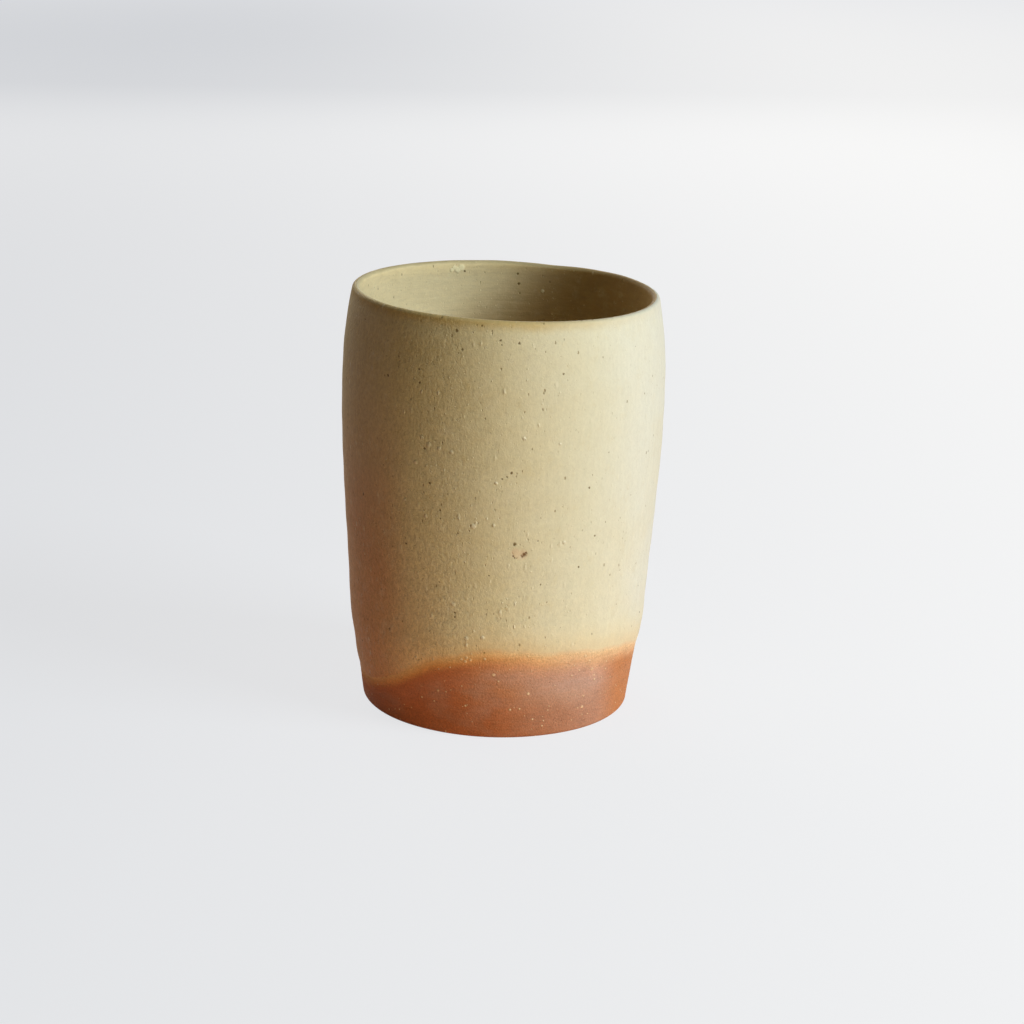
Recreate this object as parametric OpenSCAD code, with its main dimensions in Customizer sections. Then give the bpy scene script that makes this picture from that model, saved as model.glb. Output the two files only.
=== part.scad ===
// Hand-thrown stoneware tumbler with a bare turned foot and two matt glaze coats.
// Origin: centre of the foot, on the surface that the cup stands on. +Z is up, -Y is the front.

/* [Overall] */
// Height of the cup, over the glaze on its lip
cup_h = 100.9; // [92:0.1:115]
// Widest diameter, at the belly, over the glaze
belly_d = 76.9; // [74:0.5:84]
// Height of the widest point above the table
belly_h = 75.5; // [64:0.5:82]

/* [Foot] */
// Diameter of the foot where the turned cone would meet the table
foot_d = 64.5; // [56:0.5:67]
// Height of the cone that the turning tool left above the foot
turned_h = 13; // [8:0.5:17]
// Diameter at the top of the turned cone, bare clay
turned_d = 68; // [64.5:0.5:70]
// Rounding of the foot's outer edge
foot_round = 0.9; // [0.4:0.1:2]
// Width of the ring that the cup stands on, measured from the foot's edge
foot_ring_w = 7; // [5:0.5:11]
// Depth of the hollow turned out of the underside
recess_depth = 1.8; // [0.8:0.1:3]

/* [Wall] */
// Height at which the turned foot has run out into the thrown wall
shoulder_h = 24; // [20:0.5:32]
// Diameter at that height, over the glaze
shoulder_d = 71.6; // [70:0.5:75]
// How far the thrown wall flares outwards there, in degrees
shoulder_flare = 2.9; // [1:0.1:5]
// Thickness of the clay just above the inside corner
wall_low = 4.4; // [3.4:0.1:6]
// Thickness of the clay at the belly
wall_belly = 3; // [2.4:0.1:4.2]
// Thickness of the clay floor, above the hollow in the foot
floor_t = 4.6; // [3:0.1:7]
// Radius between the inside wall and the floor
corner_r = 18; // [10:0.5:24]
// How far the inside wall flares outwards just above that radius, in degrees
inside_flare = 4; // [2:0.1:6]

/* [Lip] */
// Diameter of the circle along the crest of the lip
mouth_d = 71.4; // [66:0.1:75]
// Thickness of the lip, with both coats of glaze
lip_w = 1.9; // [1.6:0.1:3]
// How far the outside leans inwards just below the lip, in degrees
lip_lean = 11; // [4:0.5:16]
// How far the inside leans inwards just below the lip, in degrees
lip_lean_inside = 3; // [1:0.5:10]

/* [Throwing rings] */
// Distance between the finger marks inside the cup
ring_pitch = 6.2; // [4:0.1:9]
// Depth of a finger mark where it is deepest
ring_depth = 0.28; // [0.1:0.02:0.5]
// Bare of finger marks for this far below the lip
smooth_h = 24; // [15:1:40]

/* [Glaze] */
// Thickness of each coat of glaze
glaze_t = 0.35; // [0.2:0.05:0.5]
// Height of the outer coat's edge at its highest, near the front
line_front_h = 21; // [18:0.5:26]
// Height of the outer coat's edge at the back
line_back_h = 15; // [12:0.5:18]
// How far the edge sags at the two sides, below the mean of front and back
line_sag = 8; // [4:0.5:9]
// How far the highest place is turned from the front towards +X, in degrees
line_turn = 20; // [0:1:45]

/* [Hidden] */
$fn = 180;

clay_colour = [0.63, 0.36, 0.23];
outer_colour = [0.88, 0.84, 0.70];
liner_colour = [0.82, 0.77, 0.61];

// Half step over which a slope is measured
slope_step = 0.01;
// Overrun of the cutter past the widest point of the cup
cut_over = 4;

// Stretches that each part of the outline is drawn in
round_steps = 4;
lip_steps = 6;
corner_steps = 9;
blend_steps = 6;
belly_steps = 12;
neck_steps = 8;
marks_per_ring = 4;

// The clay's own radii, under the glaze
foot_r = foot_d / 2;
turned_r = turned_d / 2;
foot_slope = (turned_r - foot_r) / turned_h;
foot_flare = atan(foot_slope);
shoulder_r = shoulder_d / 2 - glaze_t;
belly_r = belly_d / 2 - glaze_t;

// The lip is a half round. Clay and coats share its centre
lip_c = [mouth_d / 2, cup_h - lip_w / 2];
lip_clay_r = lip_w / 2 - glaze_t;
lip_inside_end = 180 + lip_lean_inside;

// A station is [height, radius, change of radius with height]
foot_station = [0, foot_r, foot_slope];
turned_station = [turned_h, turned_r, foot_slope];
shoulder_station = [shoulder_h, shoulder_r, tan(shoulder_flare)];
belly_station = [belly_h, belly_r, 0];
lip_station = [
    lip_c[1] + lip_clay_r * sin(lip_lean),
    lip_c[0] + lip_clay_r * cos(lip_lean),
    -tan(lip_lean)
];

// The radius at height z on the smooth curve that joins stations a and b
function between(a, b, z) =
    let (
        rise = b[0] - a[0],
        t = (z - a[0]) / rise,
        ends = a[1] * (2 * t^3 - 3 * t^2 + 1) + b[1] * (3 * t^2 - 2 * t^3),
        slopes = a[2] * (t^3 - 2 * t^2 + t) + b[2] * (t^3 - t^2)
    )
    ends + rise * slopes;

// The clay's outside radius at height z
function outside_r(z) =
    z < turned_h ? between(foot_station, turned_station, z)
    : z < shoulder_h ? between(turned_station, shoulder_station, z)
    : z < belly_h ? between(shoulder_station, belly_station, z)
    : between(belly_station, lip_station, z);

// The inside starts with the floor and the radius at its edge
floor_z = recess_depth + floor_t;
corner_z = floor_z + corner_r * (1 - sin(inside_flare));
corner_c = [
    outside_r(corner_z) - wall_low - corner_r * cos(inside_flare),
    floor_z + corner_r
];
corner_station = [corner_z, outside_r(corner_z) - wall_low, tan(inside_flare)];
inner_belly_station = [belly_h, belly_r - wall_belly, 0];
inner_lip_station = [
    lip_c[1] + lip_clay_r * sin(lip_inside_end),
    lip_c[0] + lip_clay_r * cos(lip_inside_end),
    -tan(lip_lean_inside)
];

// Finger marks fill the inside wall from the corner to the smooth band, in whole rings
marked_h = cup_h - smooth_h - corner_z;
ring_count = max(1, round(marked_h / ring_pitch));

// How deep the marks are at height z. They fade out at both ends
function mark_depth(z) =
    let (
        share = (z - corner_z) / marked_h,
        swell = share > 0 && share < 1 ? sin(180 * share) : 0
    )
    ring_depth * swell * (1 - cos(360 * ring_count * share)) / 2;

// The clay's inside radius at height z
function inside_r(z) =
    mark_depth(z) + (z < belly_h ? between(corner_station, inner_belly_station, z)
    : between(inner_belly_station, inner_lip_station, z));

// Heights from one to another in equal steps, without the last
function levels(from, to, steps) = [for (i = [0:steps - 1]) from + (to - from) * i / steps];

// Heights at which the two walls are drawn
foot_end_z = foot_round * (1 - sin(foot_flare));
outside_levels = concat(
    [foot_end_z],
    levels(turned_h, shoulder_h, blend_steps),
    levels(shoulder_h, belly_h, belly_steps),
    levels(belly_h, lip_station[0], neck_steps),
    [lip_station[0]]
);
inside_levels = concat(
    levels(corner_z, corner_z + marked_h, ring_count * marks_per_ring),
    levels(corner_z + marked_h, inner_lip_station[0], neck_steps),
    [inner_lip_station[0]]
);

// Points on a circle, from one angle to another
function arc(c, r, from, to, steps) =
    [for (i = [0:steps]) let (a = from + (to - from) * i / steps) c + r * [cos(a), sin(a)]];

function reverse(points) = [for (i = [len(points) - 1:-1:0]) points[i]];

// The outside wall from foot to lip, d out from the clay and square to it
function outside_wall(d) = [
    for (z = outside_levels)
        let (
            slope = (outside_r(z + slope_step) - outside_r(z - slope_step)) / (2 * slope_step),
            size = norm([1, slope])
        )
        [outside_r(z) + d / size, z - d * slope / size]
];

// The inside wall from lip to corner, d in from the clay and square to it
function inside_wall(d) = [
    for (z = reverse(inside_levels))
        let (
            slope = (inside_r(z + slope_step) - inside_r(z - slope_step)) / (2 * slope_step),
            size = norm([1, slope])
        )
        [inside_r(z) - d / size, z + d * slope / size]
];

// Foot to crest of the lip, d out from the clay
function outside_line(d) = concat(
    outside_wall(d),
    arc(lip_c, lip_clay_r + d, lip_lean, 90, lip_steps)
);

// Crest of the lip to the middle of the floor, d in from the clay
function inside_line(d) = concat(
    arc(lip_c, lip_clay_r + d, 90, lip_inside_end, lip_steps),
    inside_wall(d),
    arc(corner_c, corner_r - d, -inside_flare, -90, corner_steps),
    [[0, floor_z + d]]
);

// Underside, from the middle of the hollow over the standing ring to the start of the cone
foot_round_c = [foot_r + foot_slope * foot_round - foot_round / cos(foot_flare), foot_round];
recess_c = [foot_r - foot_ring_w - recess_depth, 0];
underside_line = concat(
    [[0, recess_depth]],
    arc(recess_c, recess_depth, 90, 0, round_steps),
    arc(foot_round_c, foot_round, -90, -foot_flare, round_steps)
);

// A line drawn twice leaves out the points that would repeat
function without_repeats(points) = [
    for (i = [0:len(points) - 1])
        if (i == 0 || norm(points[i] - points[max(i - 1, 0)]) > slope_step) points[i]
];

// Wall, floor and foot, thrown as one lump
module clay_body() {
    color(clay_colour)
        rotate_extrude()
            polygon(without_repeats(concat(underside_line, outside_line(0), inside_line(0))));
}

// What was wiped off the outer coat: all that lies under a bowed and tilted edge
module wiped_part() {
    half_w = turned_r + glaze_t;
    bow_r = (half_w^2 + line_sag^2) / (2 * line_sag);
    tilt = atan((line_front_h - line_back_h) / (2 * half_w));
    mean_h = (line_front_h + line_back_h) / 2;
    rotate([0, 0, line_turn])
        translate([0, 0, mean_h])
            rotate([-tilt, 0, 0])
                translate([0, 0, -bow_r])
                    rotate([90, 0, 0])
                        cylinder(r = bow_r, h = 2 * (belly_d / 2 + cut_over), center = true);
}

// Coat on the outside, from the crest of the lip down to its wiped edge
module outer_glaze() {
    color(outer_colour)
        difference() {
            rotate_extrude()
                polygon(without_repeats(concat(outside_line(0), reverse(outside_line(glaze_t)))));
            wiped_part();
        }
}

// Coat on the inside, from the crest of the lip down the wall and over the floor
module liner_glaze() {
    color(liner_colour)
        rotate_extrude()
            polygon(without_repeats(concat(inside_line(0), reverse(inside_line(glaze_t)))));
}

clay_body();
outer_glaze();
liner_glaze();
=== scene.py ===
"""A hand-thrown stoneware tumbler: bare turned foot, matt cream glaze outside and in.

The three CAD nodes are dressed with three surfaces worked out on grids: the clay, the outer
coat and the inner coat. They share one outline and one set of throwing marks, so they stay
fitted to each other. Sizes are in millimetres and become metres when a mesh is made. A turn
is an angle round the cup in degrees, from the front (-Y) towards the right (+X).
"""
import logging
import math
from dataclasses import dataclass, field
from enum import Enum
from typing import Any, ClassVar

import bpy
import numpy as np
from mathutils import Matrix, Vector


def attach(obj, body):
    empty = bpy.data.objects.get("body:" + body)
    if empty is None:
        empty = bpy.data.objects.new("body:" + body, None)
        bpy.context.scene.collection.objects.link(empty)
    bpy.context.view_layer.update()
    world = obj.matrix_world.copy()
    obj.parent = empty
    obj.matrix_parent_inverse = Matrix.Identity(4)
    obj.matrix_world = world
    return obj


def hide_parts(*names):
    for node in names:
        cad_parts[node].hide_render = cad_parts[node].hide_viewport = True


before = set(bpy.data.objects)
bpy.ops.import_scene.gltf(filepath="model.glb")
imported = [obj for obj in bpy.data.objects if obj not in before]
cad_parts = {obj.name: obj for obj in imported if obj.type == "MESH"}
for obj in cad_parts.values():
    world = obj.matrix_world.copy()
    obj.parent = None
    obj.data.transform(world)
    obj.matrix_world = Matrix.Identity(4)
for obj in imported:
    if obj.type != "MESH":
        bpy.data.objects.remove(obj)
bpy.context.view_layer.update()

log = logging.getLogger("tumbler")

MM = 0.001
CM = 0.01
BODY = "root"
ABOVE_LINE = "above_line"
FROM_CREST = "from_crest"

Triple = tuple[float, float, float]
Colour = Triple
Span = tuple[float, float]
EVEN: Triple = (1.0, 1.0, 1.0)


def srgb(red: float, green: float, blue: float) -> Colour:
    """The linear colour of an 8-bit one: ((c + 0.055) / 1.055) to the power 2.4, or c / 12.92."""
    shares = (c / 255 for c in (red, green, blue))
    return tuple(s / 12.92 if s <= 0.04045 else ((s + 0.055) / 1.055) ** 2.4 for s in shares)


def ease(share: np.ndarray) -> np.ndarray:
    """Rises from 0 to 1 with level ends: 3 s squared less 2 s cubed, s held to 0..1."""
    s = np.clip(share, 0.0, 1.0)
    return s * s * (3 - 2 * s)


@dataclass(frozen=True)
class Wave:
    """A swell that goes a whole number of times round the cup."""

    count: int
    size: float
    crest: float

    def at(self, turn: np.ndarray) -> np.ndarray:
        """Size times the cosine of count turns, less the crest's angle."""
        return self.size * np.cos(np.radians(self.count * turn - self.crest))


@dataclass(frozen=True)
class Dent:
    """A local rise or, with a negative size, a local dip."""

    turn: float
    width: float
    size: float

    def at(self, turn: np.ndarray) -> np.ndarray:
        """Size times a bell curve of the angle from the dent, measured the short way round."""
        apart = (turn - self.turn + 180) % 360 - 180
        return self.size * np.exp(-((apart / self.width) ** 2))


@dataclass(frozen=True)
class Station:
    """A place on an outline: its height, its radius and how fast the radius grows there."""

    height: float
    radius: float
    slope: float


def between(low: Station, high: Station, height: np.ndarray) -> np.ndarray:
    """The radius on the smooth curve that joins two stations.

    A cubic: with t the share of the rise, the radii are weighed by 2t^3 - 3t^2 + 1 and
    3t^2 - 2t^3, and the slopes, times the rise, by t^3 - 2t^2 + t and t^3 - t^2.

    Args:
        low: the station that the curve starts from.
        high: the station that it ends at.
        height: the heights that are asked for.

    Returns:
        The radius at each height.
    """
    rise = high.height - low.height
    t = (height - low.height) / rise
    radii = low.radius * (2 * t**3 - 3 * t**2 + 1) + high.radius * (3 * t**2 - 2 * t**3)
    slopes = low.slope * (t**3 - 2 * t**2 + t) + high.slope * (t**3 - t**2)
    return radii + rise * slopes


class Wall(Enum):
    """The two sides of the thrown wall."""

    OUTSIDE = 1
    INSIDE = -1


@dataclass(frozen=True)
class Outline:
    """The clay's section, with the sizes of the CAD source."""

    height: float = 100.9
    belly_across: float = 76.9
    belly_height: float = 75.5
    foot_across: float = 64.5
    turned_height: float = 13.0
    turned_across: float = 68.0
    foot_rounding: float = 0.9
    ring_width: float = 7.0
    recess_depth: float = 1.8
    shoulder_height: float = 24.0
    shoulder_across: float = 71.6
    shoulder_flare: float = 2.9
    wall_low: float = 4.4
    wall_belly: float = 3.0
    floor_thickness: float = 4.6
    corner_radius: float = 18.0
    inside_flare: float = 4.0
    mouth_across: float = 71.4
    lip_width: float = 1.9
    lip_lean: float = 11.0
    lip_lean_inside: float = 3.0
    finger_pitch: float = 6.2
    finger_depth: float = 0.28
    smooth_height: float = 24.0
    glaze: float = 0.35
    slope_step: float = 0.01

    @property
    def foot_slope(self) -> float:
        """How fast the turned cone widens."""
        return (self.turned_across - self.foot_across) / 2 / self.turned_height

    @property
    def lip_radius(self) -> float:
        """Radius of the clay's half-round lip."""
        return self.lip_width / 2 - self.glaze

    @property
    def floor_height(self) -> float:
        """Height of the clay floor inside."""
        return self.recess_depth + self.floor_thickness

    @property
    def corner_height(self) -> float:
        """Height at which the inside corner has run out into the wall."""
        lean = math.sin(math.radians(self.inside_flare))
        return self.floor_height + self.corner_radius * (1 - lean)

    def lip(self, angle: np.ndarray, out: float) -> tuple[np.ndarray, np.ndarray]:
        """Points on the half-round lip: its centre plus the radius times cosine and sine.

        Args:
            angle: degrees up from level, 90 at the crest.
            out: distance outside the clay.

        Returns:
            Radius and height of each point.
        """
        a = np.radians(angle)
        size = self.lip_radius + out
        centre = self.height - self.lip_width / 2
        return self.mouth_across / 2 + size * np.cos(a), centre + size * np.sin(a)

    def lip_station(self, wall: Wall) -> Station:
        """The end of the lip's half round on one side.

        Args:
            wall: the side.

        Returns:
            Its height and radius, and its slope: minus the tangent of the lean.
        """
        lean = self.lip_lean if wall is Wall.OUTSIDE else self.lip_lean_inside
        angle = lean if wall is Wall.OUTSIDE else 180 + lean
        radius, height = self.lip(np.array(angle), 0.0)
        return Station(float(height), float(radius), -math.tan(math.radians(lean)))

    def outside(self, height: np.ndarray) -> np.ndarray:
        """The clay's outside radius: four smooth curves through five stations.

        Args:
            height: heights above the table.

        Returns:
            The radius at each height.
        """
        foot = Station(0.0, self.foot_across / 2, self.foot_slope)
        turned = Station(self.turned_height, self.turned_across / 2, self.foot_slope)
        flare = math.tan(math.radians(self.shoulder_flare))
        shoulder = Station(self.shoulder_height, self.shoulder_across / 2 - self.glaze, flare)
        belly = Station(self.belly_height, self.belly_across / 2 - self.glaze, 0.0)
        z = np.asarray(height, float)
        return np.select(
            [z < turned.height, z < shoulder.height, z < belly.height],
            [between(foot, turned, z), between(turned, shoulder, z), between(shoulder, belly, z)],
            between(belly, self.lip_station(Wall.OUTSIDE), z),
        )

    def corner(self) -> Station:
        """The station at which the inside wall starts, above the corner."""
        radius = float(self.outside(np.array(self.corner_height))) - self.wall_low
        return Station(self.corner_height, radius, math.tan(math.radians(self.inside_flare)))

    def finger_marks(self, height: np.ndarray) -> np.ndarray:
        """Depth of the finger marks: whole rings, each a raised cosine, under one half sine.

        Args:
            height: heights above the table.

        Returns:
            The depth at each height.
        """
        marked = self.height - self.smooth_height - self.corner_height
        rings = max(1, round(marked / self.finger_pitch))
        share = (height - self.corner_height) / marked
        swell = np.where((share > 0) & (share < 1), np.sin(np.pi * share), 0.0)
        return self.finger_depth * swell * (1 - np.cos(2 * np.pi * rings * share)) / 2

    def inside(self, height: np.ndarray) -> np.ndarray:
        """The clay's inside radius: two smooth curves, widened by the finger marks.

        Args:
            height: heights above the table.

        Returns:
            The radius at each height.
        """
        z = np.asarray(height, float)
        belly_radius = self.belly_across / 2 - self.glaze - self.wall_belly
        belly = Station(self.belly_height, belly_radius, 0.0)
        low = between(self.corner(), belly, z)
        high = between(belly, self.lip_station(Wall.INSIDE), z)
        return np.where(z < belly.height, low, high) + self.finger_marks(z)

    def wall(
        self, wall: Wall, height: np.ndarray, out: np.ndarray | float
    ) -> tuple[np.ndarray, np.ndarray]:
        """Points beside one side of the wall, square to it.

        The slope is the rise in radius over a small step of height. The point moves by out
        over the length of (1, slope), along (1, -slope), away from the clay.

        Args:
            wall: the side.
            height: heights on the clay.
            out: distance from the clay.

        Returns:
            Radius and height of each point.
        """
        radius_at = self.outside if wall is Wall.OUTSIDE else self.inside
        step = self.slope_step
        slope = (radius_at(height + step) - radius_at(height - step)) / (2 * step)
        size = np.hypot(1.0, slope)
        return radius_at(height) + wall.value * out / size, height - wall.value * out * slope / size

    def corner_arc(self, angle: np.ndarray, out: float) -> tuple[np.ndarray, np.ndarray]:
        """Points on the inside corner: its centre plus the radius times cosine and sine.

        Args:
            angle: degrees, from the wall's flare down to -90 at the floor.
            out: distance into the cup from the clay.

        Returns:
            Radius and height of each point.
        """
        a = np.radians(angle)
        size = self.corner_radius - out
        lean = math.cos(math.radians(self.inside_flare))
        centre = self.corner().radius - self.corner_radius * lean
        return centre + size * np.cos(a), self.floor_height + self.corner_radius + size * np.sin(a)


@dataclass(frozen=True)
class Throwing:
    """How the thrown cup departs from a true round. Clay and coats depart alike."""

    rim: tuple[Wave, ...] = (Wave(1, 0.50, -110), Wave(2, 0.05, -127), Wave(3, 0.09, -18))
    rim_dents: tuple[Dent, ...] = (
        Dent(161, 7, -0.14),
        Dent(146, 8, 0.09),
        Dent(202, 9, 0.08),
        Dent(184, 8, 0.12),
        Dent(129, 10, 0.14),
    )
    rim_drop: float = 0.57
    rim_from: float = 55.0
    oval: tuple[Wave, ...] = (Wave(2, 0.05, 60), Wave(3, 0.03, -40), Wave(5, 0.012, 20))
    oval_at_foot: float = 0.3
    drift_limit: float = 0.13
    mouth_oval: Wave = Wave(2, 0.16, 0)
    mouth_set_in: float = 0.12
    mouth_from: float = 80.0
    finger_rise: float = 8.6
    finger_size: float = 0.022
    uneven_size: float = 0.03
    uneven_waves: int = 28
    uneven_most: int = 9
    uneven_rise: float = 16.0
    seed: int = 11

    def lift(self, turn: np.ndarray, height: np.ndarray, top: float) -> np.ndarray:
        """How far the wall is raised: the rim's waves less its drop, eased in with height."""
        waves = sum(part.at(turn) for part in (*self.rim, *self.rim_dents))
        return (waves - self.rim_drop) * ease((height - self.rim_from) / (top - self.rim_from))

    def unevenness(self, turn: np.ndarray, height: np.ndarray) -> np.ndarray:
        """Slow lumps: a sum of waves of random count, rise and phase, with one mean size.

        Args:
            turn: angles round the cup.
            height: heights on the wall.

        Returns:
            The height of the lumps at each point.
        """
        rng = np.random.default_rng(self.seed)
        count = rng.integers(0, self.uneven_most, self.uneven_waves)
        rise = rng.normal(0, 1 / self.uneven_rise, self.uneven_waves)
        phase = rng.uniform(0, 2 * np.pi, self.uneven_waves)
        angle = np.radians(turn)[..., None] * count + height[..., None] * rise * 2 * np.pi
        return self.uneven_size * np.cos(angle + phase).sum(-1) * math.sqrt(2 / self.uneven_waves)

    def drift(self, turn: np.ndarray, height: np.ndarray, top: float) -> np.ndarray:
        """How far the wall stands out or in, never out past the CAD's widest place.

        The sum is the oval, growing with height, one spiral finger line and the slow lumps.
        It is limited softly, as the limit times the hyperbolic tangent, and set in by the limit.
        The mouth is then narrowed from side to side, more and more towards the lip.

        Args:
            turn: angles round the cup.
            height: heights on the wall.
            top: height of the cup.

        Returns:
            The change of radius at each point.
        """
        growth = self.oval_at_foot + (1 - self.oval_at_foot) * ease(height / top)
        oval = sum(part.at(turn) for part in self.oval) * growth
        spiral = np.cos(np.radians(turn) + 2 * np.pi * height / self.finger_rise)
        total = oval + self.finger_size * spiral + self.unevenness(turn, height)
        mouth = self.mouth_oval.at(turn) - self.mouth_set_in
        near = ease((height - self.mouth_from) / (top - self.mouth_from))
        return self.drift_limit * (np.tanh(total / self.drift_limit) - 1) + mouth * near


@dataclass(frozen=True)
class DipLine:
    """Where the outer coat ends, after its edge was wiped and ran a little."""

    mean: float = 14.2
    waves: tuple[Wave, ...] = (
        Wave(1, 3.2, 30),
        Wave(2, 4.6, 42),
        Wave(3, 0.8, -20),
        Wave(4, 1.3, -79),
    )
    ripples: tuple[Wave, ...] = (Wave(11, 0.10, 50), Wave(17, 0.07, 200), Wave(29, 0.05, 10))

    def height(self, turn: np.ndarray) -> np.ndarray:
        """The mean height plus the waves and the small ripples."""
        return self.mean + sum(part.at(turn) for part in (*self.waves, *self.ripples))


@dataclass(frozen=True)
class Mark:
    """A stone, speck or pit at a known place on a wall."""

    turn: float
    height: float
    radius: float


def placed(*rows: tuple[float, float, float]) -> tuple[Mark, ...]:
    """Marks from rows of turn, height and radius."""
    return tuple(Mark(*row) for row in rows)


@dataclass
class Skin:
    """A grid of points, row by row round the cup, that closes into a solid.

    Rows run from the underside or the hidden side over the lip, so that faces point outwards.
    """

    turn: np.ndarray
    radius: np.ndarray
    height: np.ndarray
    marks: dict[str, np.ndarray] = field(default_factory=dict)
    first_pole: float | None = None
    last_pole: float | None = None

    @property
    def is_ring(self) -> bool:
        """A skin with no pole closes on itself from its last row to its first."""
        return self.first_pole is None and self.last_pole is None

    def points(self) -> np.ndarray:
        """The points in metres: radius times sine, minus radius times cosine, and height.

        Returns:
            The points of the grid, row by row, then those of the poles.
        """
        angle = np.radians(self.turn)
        grid = np.stack(
            [self.radius * np.sin(angle), -self.radius * np.cos(angle), self.height], axis=-1
        )
        poles = [p for p in (self.first_pole, self.last_pole) if p is not None]
        ends = np.array([[0.0, 0.0, p] for p in poles]).reshape(-1, 3)
        return np.concatenate([grid.reshape(-1, 3), ends]) * MM

    def faces(self) -> tuple[np.ndarray, np.ndarray]:
        """Four-sided faces between the rows and three-sided ones round the poles.

        Returns:
            The corners of the quads, by row, and of the triangles.
        """
        rows, columns = self.radius.shape
        index = np.arange(rows * columns).reshape(rows, columns)
        low = index if self.is_ring else index[:-1]
        high = np.roll(index, -1, axis=0) if self.is_ring else index[1:]
        low_beside, high_beside = np.roll(low, -1, axis=1), np.roll(high, -1, axis=1)
        quads = np.stack([low, low_beside, high_beside, high], axis=-1).reshape(-1, 4)
        fans = []
        pole = rows * columns
        if self.first_pole is not None:
            row = index[0]
            fans.append(np.stack([np.full(columns, pole), np.roll(row, -1), row], axis=-1))
            pole += 1
        if self.last_pole is not None:
            row = index[-1]
            fans.append(np.stack([row, np.roll(row, -1), np.full(columns, pole)], axis=-1))
        tris = np.concatenate(fans) if fans else np.zeros((0, 3), int)
        return quads, tris

    def mark_values(self, name: str) -> np.ndarray:
        """A mark's value at every point. A pole takes the mean of the row beside it.

        Args:
            name: the mark's name.

        Returns:
            The values, in the order of the points.
        """
        grid = self.marks[name]
        ends = []
        if self.first_pole is not None:
            ends.append(grid[0].mean())
        if self.last_pole is not None:
            ends.append(grid[-1].mean())
        return np.concatenate([grid.ravel(), np.array(ends)]).astype(np.float32)

    def build(self, name: str, material: bpy.types.Material) -> bpy.types.Object:
        """Makes the mesh object, smooth shaded, with the marks as point attributes.

        It logs the volume: a sixth of the sum, over the triangles, of the first corner's dot
        product with the cross product of the other two.

        Args:
            name: the piece's name.
            material: its finish.

        Returns:
            The new object, linked to the scene.
        """
        points = self.points()
        quads, tris = self.faces()
        corners = np.concatenate([quads.ravel(), tris.ravel()])
        sides = np.concatenate([np.full(len(quads), 4), np.full(len(tris), 3)])
        starts = np.concatenate([[0], np.cumsum(sides)[:-1]])
        mesh = bpy.data.meshes.new(name)
        mesh.vertices.add(len(points))
        mesh.vertices.foreach_set("co", points.astype(np.float32).ravel())
        mesh.loops.add(len(corners))
        mesh.loops.foreach_set("vertex_index", corners.astype(np.int32))
        mesh.polygons.add(len(sides))
        mesh.polygons.foreach_set("loop_start", starts.astype(np.int32))
        mesh.update(calc_edges=True)
        mesh.polygons.foreach_set("use_smooth", np.ones(len(sides), bool))
        for mark in self.marks:
            layer = mesh.attributes.new(mark, "FLOAT", "POINT")
            layer.data.foreach_set("value", self.mark_values(mark))
        mesh.materials.append(material)
        piece = bpy.data.objects.new(name, mesh)
        bpy.context.scene.collection.objects.link(piece)
        split = np.concatenate([quads[:, [0, 1, 2]], quads[:, [0, 2, 3]], tris])
        a, b, c = (points[split[:, i]] for i in range(3))
        volume = np.einsum("ij,ij->i", a, np.cross(b, c)).sum() / 6
        log.info("%s: %d triangles, %.2f cm3", name, len(split), volume / CM**3)
        return piece


class Signal:
    """A shader socket that arithmetic works on: each operator adds one Math node."""

    def __init__(self, graph: "Graph", socket: bpy.types.NodeSocket) -> None:
        """Keeps the socket and the graph that it belongs to."""
        self.graph = graph
        self.socket = socket

    def math(self, operation: str, *terms: "Signal | float") -> "Signal":
        """A Math node on the given terms."""
        inputs = dict(enumerate(terms))
        return self.graph.signal("ShaderNodeMath", {"operation": operation}, inputs)

    def __add__(self, other: "Signal | float") -> "Signal":
        """self + other."""
        return self.math("ADD", self, other)

    def __sub__(self, other: "Signal | float") -> "Signal":
        """self - other."""
        return self.math("SUBTRACT", self, other)

    def __rsub__(self, other: "Signal | float") -> "Signal":
        """other - self."""
        return self.math("SUBTRACT", other, self)

    def __mul__(self, other: "Signal | float") -> "Signal":
        """self * other."""
        return self.math("MULTIPLY", self, other)

    def __truediv__(self, other: "Signal | float") -> "Signal":
        """self / other."""
        return self.math("DIVIDE", self, other)

    def __rtruediv__(self, other: "Signal | float") -> "Signal":
        """other / self."""
        return self.math("DIVIDE", other, self)

    def __lt__(self, other: "Signal | float") -> "Signal":
        """1 where self is less than other, else 0."""
        return self.math("LESS_THAN", self, other)

    __radd__ = __add__
    __rmul__ = __mul__

    def most(self, other: "Signal | float") -> "Signal":
        """The larger of the two."""
        return self.math("MAXIMUM", self, other)

    def least(self, other: "Signal | float") -> "Signal":
        """The smaller of the two."""
        return self.math("MINIMUM", self, other)

    def fade(self, start: float, end: float) -> "Signal":
        """0 at start and 1 at end, with level ends and held outside them.

        Args:
            start: where it is 0.
            end: where it is 1, above or below the start.

        Returns:
            The eased share of the way from start to end.
        """
        settings = {"interpolation_type": "SMOOTHSTEP"}
        inputs = {0: self, 1: start, 2: end}
        return self.graph.signal("ShaderNodeMapRange", settings, inputs)


@dataclass(frozen=True)
class Grain:
    """Soft random variation about 0, mostly within half either way.

    It has lumps of one size with finer ones on them: detail counts their octaves, and rough
    is the strength of each beside the one before. The shift moves the pattern, so that no two
    uses are alike. Lumps are long along an axis where lie is small. Shade and height say how
    far the grain lightens a colour and raises a surface in millimetres.
    """

    size: float
    shift: float
    detail: float = 2.0
    rough: float = 0.5
    lie: Triple = EVEN
    shade: float = 0.0
    height: float = 0.0


@dataclass(frozen=True)
class Scatter:
    """Spots strewn at random: cells of one spacing, a share of which hold a spot."""

    spacing: float
    share: float
    radius: float
    shift: float
    softness: float = 0.5


@dataclass(frozen=True)
class Tint:
    """A colour and how strongly it is laid over another."""

    colour: Colour
    strength: float


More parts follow.
